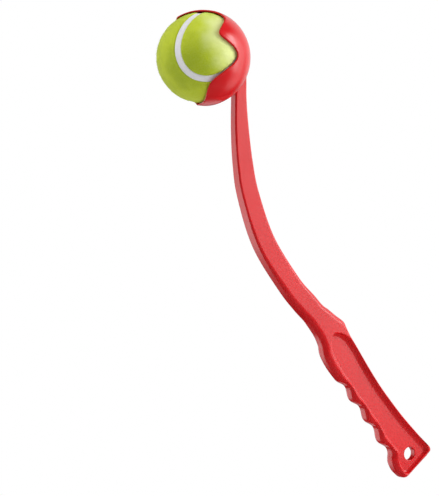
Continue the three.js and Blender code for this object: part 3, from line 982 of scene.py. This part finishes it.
def matched_lines():
    """The handle's outline and the pocket's, as lines with as many points, where
    points with the same number lie across the rim from each other. Each line
    comes with its normals, into the handle."""
    handle = sizes("handle")
    spacing, station_spacing = 0.25 * MM, 0.75 * MM
    outer_reach, inner_reach = 0.45 * MM, 0.6 * MM
    outer = eased(handle_outline(), outer_reach, spacing)
    inner = pocket_outline()
    turned = len(inner) // 2
    ring = eased(np.vstack([inner[turned:-1], inner[:turned + 1]]), inner_reach, spacing)
    cut = int(np.argmin(ring[:, 0]))
    inner = np.vstack([ring[cut:-1], ring[:cut + 1]])

    def half_of(line, back):
        halfway = int(np.argmax(line[:, 0]))
        return range(halfway, len(line)) if back else range(halfway)

    def tied(place, back):
        i = min(half_of(outer, back), key=lambda i: abs(outer[i, 0] - place))
        return i, min(half_of(inner, back), key=lambda k: np.linalg.norm(inner[k] - outer[i]))

    def corner(line, side):
        return int(np.argmax(np.where(line[:, 0] > 0, line[:, 0] + side * line[:, 1], -1)))

    necks = neck_points([(share, 0) for share in FRONT_PAIR_SHARES], 0)
    fronts = [place for place, _ in necks]
    fronts += [first_ridge() + k * handle.groove_pitch / 2 for k in range(2 * handle.groove_count)]
    pairs = [(0, 0)]
    pairs += [tied(place, False) for place in fronts]
    pairs += [(corner(outer, side), corner(inner, side)) for side in (1, -1)]
    pairs += [tied(share * joint_down(), True) for share in BACK_PAIR_SHARES]
    pairs += [(len(outer) - 1, len(inner) - 1)]
    runs = [along_line(line) for line in (outer, inner)]
    places = [[], []]
    for start, end in zip(pairs, pairs[1:]):
        span = runs[0][end[0]] - runs[0][start[0]]
        count = max(2, int(span / station_spacing))
        shares = np.arange(count) / count
        for found, run, a, b in zip(places, runs, start, end):
            found.append(run[a] + shares * (run[b] - run[a]))
    outer_places, inner_places = (
        np.concatenate([*found, run[-1:]]) for found, run in zip(places, runs))
    inner_places = smoothed(inner_places, half=6, width=2.5)
    outer_normals = normals_of(outer)
    outer_normals[0], outer_normals[-1] = (0, -1), (0, 1)
    inner_normals = normals_of(inner[:-1], closed=True)
    inner_normals = np.vstack([inner_normals, inner_normals[:1]])
    outer_lines = [points_at(line, outer_places, runs[0]) for line in (outer, outer_normals)]
    inner_lines = [points_at(line, inner_places, runs[1]) for line in (inner, inner_normals)]
    return outer_lines + inner_lines


def rim_profile(width, edge, lip, slope):
    """The section across a rim of some width: pairs of a distance in from the
    outline and a height over the mid-plane, ending on the pocket's floor. The
    pocket's wall leans by the slope."""
    handle, pocket = sizes("handle"), sizes("pocket")
    half = handle.thickness / 2
    floor = half - pocket.depth
    low = half - edge
    flat = width - edge - lip
    if flat >= 0:
        meet, lip_height = math.pi / 2, half - lip
    else:
        meet = math.acos(min(1, (edge + lip - width) / (edge - lip)))
        lip_height = low + (edge - lip) * math.sin(meet)
    support = min(SUPPORT, max(flat, 0) / 2)
    points = [(0, 0), (0, low - SUPPORT)]
    for angle in np.linspace(0, meet, EDGE_STEPS + 1):
        points.append((edge * (1 - math.cos(angle)), low + edge * math.sin(angle)))
    if flat > 0:
        points += [(edge + support, half), (width - lip - support, half)]
    else:
        points += [points[-1]] * 2
    for angle in np.linspace(math.pi - meet, slope, LIP_STEPS + 1):
        points.append((width - lip + lip * math.cos(angle), lip_height + lip * math.sin(angle)))
    across, height = points[-1]
    foot = across + (height - floor) * math.tan(slope)
    wall = (height - floor) / math.cos(slope)
    fillet = min(pocket.fillet, (wall - WELD) / math.tan((math.pi / 2 - slope) / 2))
    points += list(rounded(points[-1], (foot, floor), (foot + wall, floor), fillet, FILLET_STEPS))
    points.append((points[-1][0] + SUPPORT, floor))
    return np.array(points)


def rim_rows():
    """The handle's upper half from its outline in to the pocket's floor: a row of
    points across the rim at each place round it."""
    handle, pocket = sizes("handle"), sizes("pocket")
    outer, outer_normals, inner, inner_normals = matched_lines()
    from_tip = np.abs(inner[:, 0] - inner[0, 0]) / TIP_FADE
    slopes = pocket.back_slope * smoothstep(inner_normals[:, 1]) * smoothstep(from_tip)
    below_neck = smoothstep((NECK_FADE[0] - outer[:, 0] / joint_down()) / NECK_FADE[1])
    at_back = smoothstep((outer_normals[:, 1] - BACK_FADE[0]) / BACK_FADE[1]) * below_neck
    edges = handle.edge + at_back * (handle.back_edge - handle.edge)
    rows = []
    for j, edge in enumerate(edges):
        width = float(np.linalg.norm(inner[j] - outer[j]))
        lip = min(pocket.lip, LIP_SHARE * width)
        profile = rim_profile(width, edge, lip, slopes[j])
        wide = smoothstep((width - edge - lip) / edge)
        start, end = edge * wide, width - lip * wide
        share = smoothstep((profile[:, 0] - start) / (end - start))[:, None]
        from_outer = outer[j] + profile[:, :1] * outer_normals[j]
        from_inner = inner[j] + (profile[:, :1] - width) * inner_normals[j]
        flat = (1 - share) * from_outer + share * from_inner
        rows.append(np.column_stack([flat, profile[:, 1]]))
    return rows


def add_hole(bm, floor):
    """Adds the hang hole's edge and wall down to the mid-plane, and returns the
    edges that it shares with the pocket's floor."""
    handle = sizes("handle")
    radius, edge = handle.hole / 2, handle.hole_edge
    profile = [(radius + edge + SUPPORT, floor)]
    for angle in np.linspace(0, math.pi / 2, HOLE_EDGE_STEPS + 1):
        profile.append((radius + edge - edge * math.sin(angle), floor - edge + edge * math.cos(angle)))
    profile += [(radius, floor - edge - SUPPORT), (radius, 0)]
    around = np.arange(HOLE_POINTS) * math.tau / HOLE_POINTS
    verts = [bm.verts.new((reach * math.cos(a), reach * math.sin(a), height))
             for reach, height in profile for a in around]
    for face in grid_faces(len(profile), HOLE_POINTS, closed=True):
        bm.faces.new([verts[i] for i in face])
    return [bm.edges.get((verts[k], verts[(k + 1) % HOLE_POINTS])) for k in range(HOLE_POINTS)]


def handle_mesh():
    """The handle, with its grooves, thumb rest, pockets and hang hole."""
    handle, pocket = sizes("handle"), sizes("pocket")
    floor = handle.thickness / 2 - pocket.depth
    rows = rim_rows()
    levels = len(rows[0])
    bm = bmesh.new()
    verts = [bm.verts.new(tuple(p)) for p in np.vstack(rows)]
    for face in grid_faces(len(rows), levels):
        bm.faces.new([verts[i] for i in face])
    top = range(TOP_LEVEL, TOP_LEVEL + 3)
    final = (len(rows) - 1) * levels
    end = [*top, TOP_LEVEL + 3, *(final + k for k in reversed(top))]
    bm.faces.new([verts[i] for i in end])
    bmesh.ops.remove_doubles(bm, verts=bm.verts[:], dist=WELD)
    bmesh.ops.dissolve_degenerate(bm, edges=bm.edges[:], dist=WELD)
    loop = [e for e in bm.edges if e.is_boundary and all(abs(v.co.z - floor) < WELD for v in e.verts)]
    loop += add_hole(bm, floor)
    bmesh.ops.triangle_fill(bm, edges=loop, use_beauty=True, normal=(0, 0, 1))
    copies = bmesh.ops.duplicate(bm, geom=bm.verts[:] + bm.edges[:] + bm.faces[:])["geom"]
    for v in copies:
        if isinstance(v, bmesh.types.BMVert):
            v.co.z = -v.co.z
    bmesh.ops.remove_doubles(bm, verts=bm.verts[:], dist=WELD)
    bmesh.ops.recalc_face_normals(bm, faces=bm.faces[:])
    open_edges = [e for e in bm.edges if e.is_boundary]
    bmesh.ops.edgeloop_fill(bm, edges=open_edges)
    for e in open_edges:
        e.smooth = False
    down, front = handle_ways()
    for v in bm.verts:
        u, w, y = v.co
        v.co = (down[0] * u + front[0] * w, -y, down[1] * u + front[1] * w)
    return write_mesh(bm, bpy.data.meshes.new("finger_grip_handle"))


# The arm


def arm_line():
    """The arm's centre line in its plane, with its width and how far its section
    has changed into the neck's. It ends on the handle."""
    cup, arm, handle = sizes("cup"), sizes("arm"), sizes("handle")
    down, front = handle_ways()
    outside = cup.inside + cup.wall
    rows = [(outside * out - cup.reach, outside * up + cup.rise, share * arm.width, 0)
            for out, up, share in SPINE_SHARES]
    start = np.array(rows[-1][:2])
    neck_front, neck_back = NECK_SHARES[0][1] * handle.front, NECK_BACK_SHARE * handle.back
    end = down * joint_down() + front * (neck_front - neck_back) / 2
    wider = neck_front + neck_back - arm.width
    for across, along, width_share, share in (*ARM_SHARES, (1, 1, 1, 1)):
        place = start + (across, along) * (end - start)
        rows.append((*place, arm.width + width_share * wider, share))
    share, across = NECK_SHARES[1]
    rise = across * handle.front - neck_front
    front_slope = rise / (share * (first_ridge() - joint_down()))
    share, across, thumb = BACK_SHARES[-1]
    rise = neck_back - across * handle.back - thumb * handle.thumb_rise
    back_slope = rise / ((share - 1) * joint_down())
    before = np.array(rows[-2])
    run = (end - before[:2]) @ down
    beyond = before[:2] + 2 * run * (down + front * (front_slope + back_slope) / 2)
    rows.append((*beyond, before[2] + 2 * run * (front_slope - back_slope), 1))
    line = spline(rows, ARM_STEPS)[:-ARM_STEPS]
    line[:, 3] = np.minimum(line[:, 3], 1)
    return line


def arm_mesh(material):
    """The curved arm, swept from the spine behind the cup down to the handle."""
    arm, handle = sizes("arm"), sizes("handle")
    line = arm_line()
    x, z, width, share = line.T
    ways = unit(np.gradient(line[:, :2], axis=0))
    run = along_line(line[:, :2])
    squared = smoothstep(1 - (run[-1] - run) / (2 * width[-1]))[:, None]
    ways = unit(ways + squared * (handle_ways()[0] - ways))
    attributes = {
        "place": np.column_stack([x, 0 * x, z]),
        "across": np.column_stack([-ways[:, 1], 0 * x, ways[:, 0]]),
        "aside": np.tile((0.0, 1.0, 0.0), (len(line), 1)),
        "width": width,
        "thickness": arm.thickness + share * (handle.thickness - arm.thickness),
        "edge": arm.edge + share ** arm.edge_growth * (handle.edge - arm.edge)}
    mesh = swept_mesh(
        "curved_arm", material, attributes, closed=False, side_points=(18, 3), corner_steps=12)
    blend_into_cup(mesh)
    return outward(mesh)


def blend_into_cup(mesh):
    """Gives the arm's sides a fillet where they meet the cup, and keeps what is
    inside the cup within the cup's wall."""
    cup, fillet = sizes("cup"), sizes("arm").fillet
    outside = cup.inside + cup.wall
    points = np.zeros(len(mesh.vertices) * 3, np.float32)
    mesh.vertices.foreach_get("co", points)
    points = points.reshape(-1, 3).astype(float) - cup_centre()
    radius = np.linalg.norm(points, axis=1)
    height = np.clip(radius - outside, 0, fillet)
    sideways = read_attribute(mesh, "arc")[:, 1]
    spread = (fillet - np.sqrt(fillet ** 2 - (fillet - height) ** 2)) * sideways
    moved = unit(points + np.outer(spread, (0, 1, 0)))
    points = moved * np.maximum(radius, outside - cup.wall / 2)[:, None] + cup_centre()
    mesh.vertices.foreach_set("co", points.astype(np.float32).ravel())
    mesh.update()


# The ball


def ball_turn():
    """How the ball lies in the cup, as a matrix."""
    ball = sizes("ball")
    (cx, sx), (cy, sy), (cz, sz) = (
        (math.cos(angle), math.sin(angle)) for angle in (ball.turn_x, ball.turn_y, ball.turn_z))
    about_x = np.array([[1, 0, 0], [0, cx, -sx], [0, sx, cx]])
    about_y = np.array([[cy, 0, sy], [0, 1, 0], [-sy, 0, cy]])
    about_z = np.array([[cz, -sz, 0], [sz, cz, 0], [0, 0, 1]])
    return about_x @ about_y @ about_z


def seam_line(count):
    """The middle of the seam on a ball of radius one, and the way to its left."""
    bend = sizes("ball").seam_bend
    angle = np.arange(count) * math.tau / count
    rest = 1 - bend
    points = np.stack([
        rest * np.cos(angle) + bend * np.cos(3 * angle),
        rest * np.sin(angle) - bend * np.sin(3 * angle),
        2 * math.sqrt(rest * bend) * np.sin(2 * angle)], 1)
    ahead = np.roll(points, -1, 0) - np.roll(points, 1, 0)
    return points, unit(np.cross(points, ahead))


def from_seam(points):
    """How far each point of a unit ball lies from the seam's middle, as a signed
    angle, and the seam point that it is nearest to."""
    line, side = seam_line(SEAM_POINTS)
    parts = np.array_split(points, SEAM_PARTS)
    nearest = np.concatenate([np.argmax(part @ line.T, axis=1) for part in parts])
    across = np.einsum("ij,ij->i", points, side[nearest])
    straight = np.clip(np.einsum("ij,ij->i", points, line[nearest]), -1, 1)
    return np.sign(across) * np.arccos(straight), nearest


def felt_panel(name, way, seed, material):
    """One felt panel: a shell whose edge rolls down to the seam, with its nap."""
    ball = sizes("ball")
    lump_height, fibre_radius = 0.12 * MM, 0.035 * MM
    spare, close_enough = 0.6, 0.001  # of the seam's half-width, and of the radius
    finer_bands = (4.5 * MM, 2.2 * MM)
    surface = ball.radius - ball.nap
    half_band = ball.seam_width / 2 / surface
    bm = bmesh.new()
    bmesh.ops.create_icosphere(bm, subdivisions=6, radius=1)

    def measured():
        bm.verts.index_update()
        points = np.array([v.co for v in bm.verts], float)
        angle, nearest = from_seam(points)
        return points, angle * way, nearest

    def cut_off(gone):
        verts = [v for v, chosen in zip(bm.verts, gone) if chosen]
        bmesh.ops.delete(bm, geom=verts, context="VERTS")

    cut_off(measured()[1] <= -spare * half_band)
    for reach in finer_bands:
        close = np.abs(measured()[1] - half_band) < reach / surface
        edges = [e for e in bm.edges if all(close[v.index] for v in e.verts)]
        bmesh.ops.subdivide_edges(bm, edges=edges, cuts=1, use_grid_fill=True)
        bmesh.ops.triangulate(bm, faces=[f for f in bm.faces if len(f.verts) > 3])
        for v in bm.verts:
            v.co.normalize()
    cut_off(measured()[1] < half_band - close_enough)
    cut_off([not v.link_faces for v in bm.verts])
    points, angle, nearest = measured()
    line, side = seam_line(SEAM_POINTS)
    edge_points = line[nearest] * math.cos(half_band) + side[nearest] * way * math.sin(half_band)
    border = np.array([v.is_boundary for v in bm.verts])
    points[border] = edge_points[border]
    angle[border] = half_band
    inward = (angle - half_band) * surface
    roll = np.clip(1 - inward / ball.felt_edge, 0, 1)
    drop = ball.felt_edge * (1 - np.sqrt(1 - roll ** 2))
    lumps = felt_lumps(points, seed) * lump_height
    places = points * (surface - drop + lumps * (1 - roll))[:, None]
    outer = bm.verts.layers.float.new("outer")
    for v, place, at_border in zip(bm.verts, places, border):
        v.co = place
        v[outer] = 0.0 if at_border else 1.0
    rim = [e for e in bm.edges if e.is_boundary]
    for v in bmesh.ops.extrude_edge_only(bm, edges=rim)["geom"]:
        if isinstance(v, bmesh.types.BMVert):
            v.co = v.co.normalized() * (surface - ball.felt)
            v[outer] = 0.0
    turned, centre = ball_turn(), cup_centre()
    for v in bm.verts:
        v.co = turned @ np.array(v.co) + centre
    mesh = write_mesh(bm, bpy.data.meshes.new(name))
    shade_smooth(mesh)
    carrier = new_object(name + "_felt", mesh)
    made = made_by(nap_tree(), carrier, {
        "Density": ball.fibres / MM ** 2, "Height": ball.nap, "Thickness": fibre_radius,
        "Seed": seed, "Material": material})
    bpy.data.objects.remove(carrier)
    return new_object(name, made)


def felt_lumps(points, seed):
    """Soft lumps over a ball, from waves in seeded directions, mostly between -1
    and 1."""
    waves, widest, narrowest, highest = 40, 25, 70, 9
    random = np.random.default_rng(seed)
    total = np.zeros(len(points))
    for _ in range(waves):
        way = unit(random.normal(size=3))
        total += np.sin(points @ way * random.uniform(widest, narrowest) + random.uniform(0, math.tau))
    return total / highest


def seam_mesh(material):
    """The rubber seam, a shallow band with soft edges that follows the seam line."""
    ball, turned = sizes("ball"), ball_turn()
    felt_gap, edge = 0.05 * MM, 0.5 * MM
    line, side = seam_line(count=600)
    top = ball.radius - ball.nap - ball.seam_recess
    low = ball.radius - ball.nap - ball.felt
    every = np.ones(len(line))
    attributes = {
        "place": (line * (top + low) / 2) @ turned.T + cup_centre(),
        "across": line @ turned.T,
        "aside": side @ turned.T,
        "width": every * (top - low),
        "thickness": every * (ball.seam_width - felt_gap),
        "edge": every * edge}
    return outward(swept_mesh(
        "ball_seam", material, attributes, closed=True, side_points=(5, 2), corner_steps=5))


# The stage


def studio_way(azimuth, elevation):
    """The way from the object to a place round it, turned from the front to the right."""
    level = math.cos(elevation)
    return Vector((math.sin(azimuth) * level, -math.cos(azimuth) * level, math.sin(elevation)))


def aim_back(made, way):
    """Turns a camera or a lamp to look against a way."""
    made.rotation_mode = "QUATERNION"
    made.rotation_quaternion = (-way).to_track_quat("-Z", "Y")


def make_camera():
    """The camera, at the photograph's angle and framing."""
    stage = sizes("stage")
    data = bpy.data.cameras.new("camera")
    data.lens = stage.lens
    data.sensor_width = SENSOR_WIDTH
    data.clip_start, data.clip_end = CAMERA_RANGE
    camera = new_object("camera", data)
    back = studio_way(stage.azimuth, stage.elevation)
    camera.location = Vector(stage.aim) + back * stage.distance
    aim_back(camera, back)
    bpy.context.scene.camera = camera


def make_panel(name, azimuth, elevation, distance, lift, width, height, strength, foot, rise, gloss):
    """A soft rectangular lamp, turned to the object, that is dimmer at its foot."""
    data = bpy.data.lights.new(name, "AREA")
    data.shape = "RECTANGLE"
    data.size, data.size_y = width, height
    data.energy = strength * math.pi * width * height
    if foot < 1:
        data.use_nodes = True
        tree = data.node_tree
        place = add_node(tree, "ShaderNodeNewGeometry", output="Parametric")
        up = add_node(tree, "ShaderNodeSeparateXYZ", {0: place}, "Y")
        fade = between(tree, up, foot, 1, 0, rise)
        set_inputs(tree, tree.nodes["Emission"], {"Strength": fade})
    made = new_object(name, data)
    made.visible_camera = False
    made.visible_glossy = gloss
    way = studio_way(math.radians(azimuth), math.radians(elevation))
    low, high = CAD_BOX
    made.location = (low + high) / 2 + way * distance + Vector((0, 0, lift))
    aim_back(made, way)


def make_world():
    """A studio that is white to the camera, plain to soft light, and to gloss is
    dark round the camera with soft white walls elsewhere."""
    world = bpy.data.worlds.new("studio")
    bpy.context.scene.world = world
    world.use_nodes = True
    tree = world.node_tree
    tree.nodes.clear()
    way = add_node(tree, "ShaderNodeTexCoord", output="Generated")
    walls = 0.0
    for azimuth, elevation, inner, outer, strength in WALLS:
        middle = studio_way(math.radians(azimuth), math.radians(elevation))
        edges = (math.cos(math.radians(angle)) for angle in (outer, inner))
        wall = between(tree, facing(tree, way, middle), 0, strength, *edges, "SMOOTHSTEP")
        walls = add_node(tree, "ShaderNodeMath", {0: walls, 1: wall}, operation="ADD")

    def background(strength):
        return add_node(tree, "ShaderNodeBackground", {"Color": (1, 1, 1, 1), "Strength": strength})

    def chosen(ray, other, this):
        found = add_node(tree, "ShaderNodeLightPath", output=ray)
        return add_node(tree, "ShaderNodeMixShader", {0: found, 1: other, 2: this})

    plain = background(sizes("stage").soft_light)
    glossy = chosen("Is Glossy Ray", plain, background(walls))
    seen = chosen("Is Camera Ray", glossy, background(1.0))
    set_inputs(tree, tree.nodes.new("ShaderNodeOutputWorld"), {"Surface": seen})


def make_floor():
    """A pale round floor under the object, fading to white at its edge."""
    radius = sizes("stage").floor_radius
    low = CAD_BOX[0].z - sizes("stage").floor_drop
    around = np.arange(FLOOR_POINTS) * math.tau / FLOOR_POINTS
    ring = [(radius * math.cos(angle), radius * math.sin(angle), low) for angle in around]
    floor = new_object("floor", mesh_from("floor", ring, [tuple(range(FLOOR_POINTS))]))
    material, tree, shader = material_nodes("pale_floor")
    set_inputs(tree, shader, {
        "Base Color": (0.9, 0.9, 0.9, 1), "Roughness": 0.9, "Specular IOR Level": 0})
    place = add_node(tree, "ShaderNodeTexCoord", output="Object")
    reach = add_node(tree, "ShaderNodeVectorMath", {0: place}, "Value", operation="LENGTH")
    white = between(tree, reach, 0, 1, *FLOOR_FADE)
    camera = add_node(tree, "ShaderNodeLightPath", output="Is Camera Ray")
    seen = add_node(tree, "ShaderNodeMath", {0: white, 1: camera}, operation="MULTIPLY")
    glow = add_node(tree, "ShaderNodeEmission")
    mix = add_node(tree, "ShaderNodeMixShader", {0: seen, 1: shader.outputs[0], 2: glow})
    set_inputs(tree, tree.nodes["Material Output"], {"Surface": mix})
    floor.data.materials.append(material)
    floor.visible_glossy = False


# Operators


class THROWER_OT_cup(bpy.types.Operator):
    """Builds the scalloped cup"""

    bl_idname = "thrower.cup"
    bl_label = "Cup"

    def execute(self, context):
        piece = new_object("scalloped_cup", cup_mesh())
        finish_piece(piece, "thrower", plastic_material(), ["ball_cup"])
        return {"FINISHED"}


class THROWER_OT_arm(bpy.types.Operator):
    """Builds the curved arm"""

    bl_idname = "thrower.arm"
    bl_label = "Arm"

    def execute(self, context):
        piece = new_object("curved_arm", arm_mesh(plastic_material()))
        finish_piece(piece, "thrower", plastic_material(), ["throwing_arm"])
        return {"FINISHED"}


class THROWER_OT_handle(bpy.types.Operator):
    """Builds the finger-grooved handle"""

    bl_idname = "thrower.handle"
    bl_label = "Handle"

    def execute(self, context):
        piece = new_object("finger_grip_handle", handle_mesh())
        finish_piece(piece, "thrower", plastic_material(), ["handle"])
        return {"FINISHED"}


class THROWER_OT_felt(bpy.types.Operator):
    """Builds both felt panels of the ball with their nap"""

    bl_idname = "thrower.felt"
    bl_label = "Felt panels"

    def execute(self, context):
        material = felt_material()
        for number, way in ((1, 1), (2, -1)):
            piece = felt_panel(f"felt_cover_{number}", way, number, material)
            finish_piece(piece, "ball", material, [f"felt_panel_{number}"])
        return {"FINISHED"}


class THROWER_OT_seam(bpy.types.Operator):
    """Builds the ball's rubber seam"""

    bl_idname = "thrower.seam"
    bl_label = "Rubber seam"

    def execute(self, context):
        material = rubber_material("white_rubber", sizes("looks").seam, speck=0.93, roughness=0.55)
        piece = new_object("ball_seam", seam_mesh(material))
        finish_piece(piece, "ball", material, ["rubber_seam"])
        return {"FINISHED"}


class THROWER_OT_core(bpy.types.Operator):
    """Finishes the rubber core inside the ball"""

    bl_idname = "thrower.core"
    bl_label = "Core"

    def execute(self, context):
        looks = sizes("looks")
        core = rubber_material("core_rubber", looks.core, speck=1.6, roughness=0.7)
        cement = rubber_material("dried_cement", looks.cement, speck=0.8, roughness=0.5)
        finishes = {"core_half_1": core, "core_half_2": core, "core_cement": cement}
        for name, material in finishes.items():
            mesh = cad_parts[name].data
            mesh.materials.clear()
            mesh.materials.append(material)
        return {"FINISHED"}


class THROWER_OT_stage(bpy.types.Operator):
    """Builds the camera, lamps, floor and background"""

    bl_idname = "thrower.stage"
    bl_label = "Stage"

    def execute(self, context):
        context.scene.view_settings.view_transform = "Standard"
        make_camera()
        make_world()
        make_floor()
        for panel in PANELS:
            make_panel(*panel)
        return {"FINISHED"}


OPERATORS = (
    THROWER_OT_stage,
    THROWER_OT_cup,
    THROWER_OT_arm,
    THROWER_OT_handle,
    THROWER_OT_felt,
    THROWER_OT_seam,
    THROWER_OT_core,
)


class THROWER_PT_panel(bpy.types.Panel):
    """Lists the operators that build the thrower"""

    bl_label = "Ball Thrower"
    bl_idname = "THROWER_PT_panel"
    bl_space_type = "VIEW_3D"
    bl_region_type = "UI"
    bl_category = "Ball Thrower"

    def draw(self, context):
        for operator in OPERATORS:
            self.layout.operator(operator.bl_idname)


def register():
    """Registers the classes and puts the property groups on the scene."""
    for group in PROPERTY_GROUPS.values():
        bpy.utils.register_class(group)
    for operator in OPERATORS:
        bpy.utils.register_class(operator)
    bpy.utils.register_class(THROWER_PT_panel)
    for name, group in PROPERTY_GROUPS.items():
        setattr(bpy.types.Scene, name, bpy.props.PointerProperty(type=group))


def unregister():
    """Takes back what register did."""
    for name in PROPERTY_GROUPS:
        delattr(bpy.types.Scene, name)
    bpy.utils.unregister_class(THROWER_PT_panel)
    for operator in reversed(OPERATORS):
        bpy.utils.unregister_class(operator)
    for group in reversed(PROPERTY_GROUPS.values()):
        bpy.utils.unregister_class(group)


def main():
    register()
    for operator in OPERATORS:
        family, name = operator.bl_idname.split(".")
        getattr(getattr(bpy.ops, family), name)()


if __name__ == "__main__":
    main()
